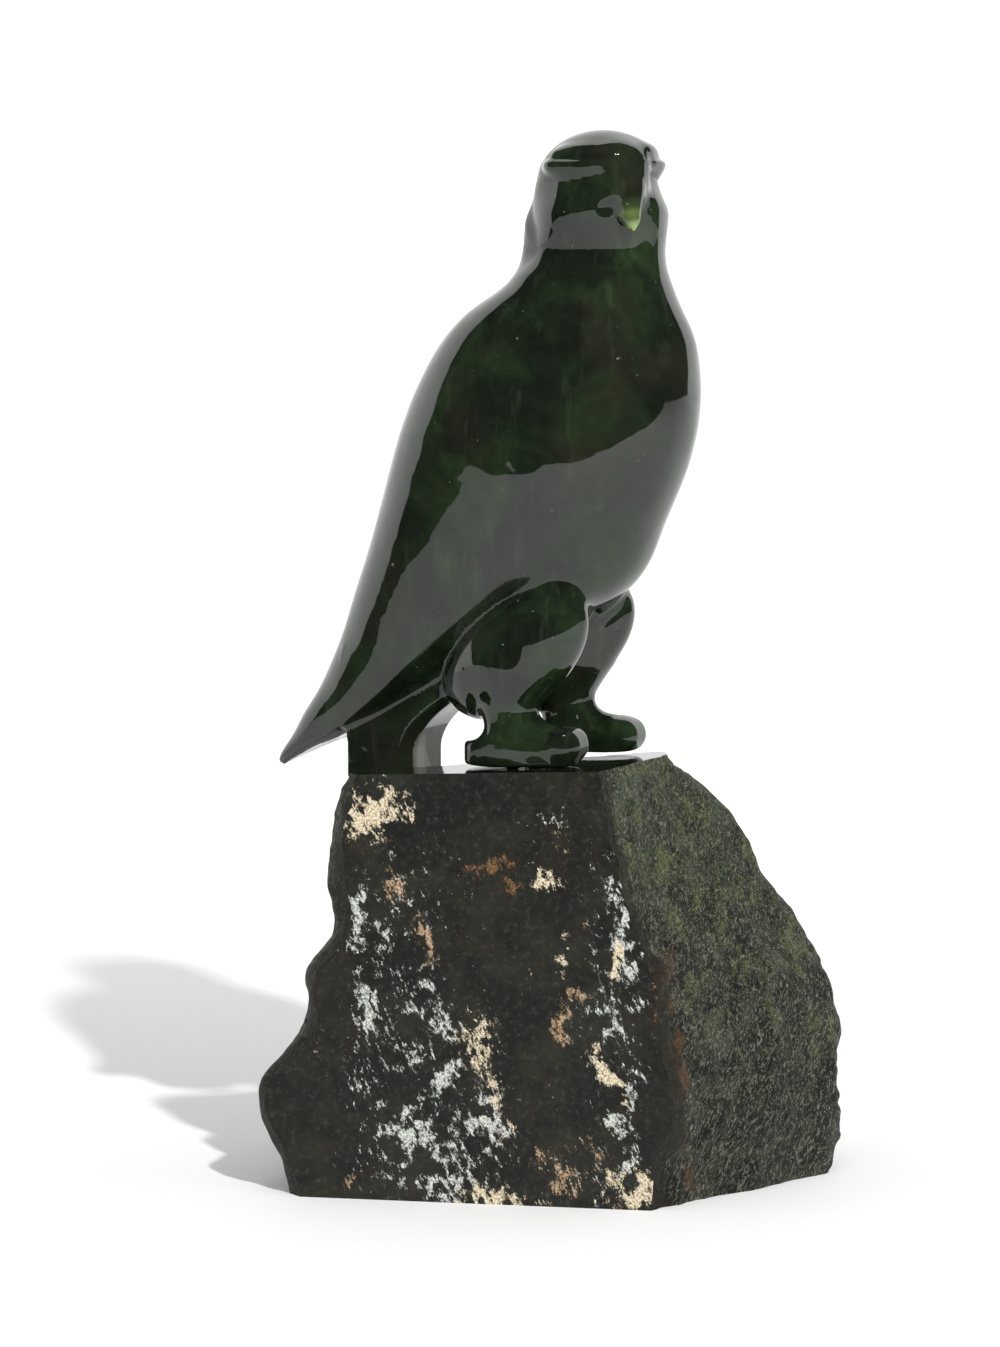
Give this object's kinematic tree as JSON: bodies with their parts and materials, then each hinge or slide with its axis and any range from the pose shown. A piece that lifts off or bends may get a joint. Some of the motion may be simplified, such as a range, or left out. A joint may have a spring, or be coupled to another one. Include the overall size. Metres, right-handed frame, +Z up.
{
  "type": "carved eagle figure",
  "caption": "Polished green jade eagle with folded wings and turned head, standing on a rough jade boulder with a flat front.",
  "frame": {"origin": "the floor under the middle of the whole work's box", "axes": "+Z up, +X to the viewer's right, +Y away from the viewer who faces the flat front of the boulder"},
  "size_m": [0.1616, 0.1174, 0.2932],
  "materials": {
    "polished_jade": "glossy",
    "boulder_jade": "satin front and polished top, rough mossy sides",
    "pin_steel": "dark satin"
  },
  "bodies": {
    "root": {"eagle": "polished_jade", "boulder_base": "boulder_jade", "foot_pin": "pin_steel"}
  },
  "joints": []
}
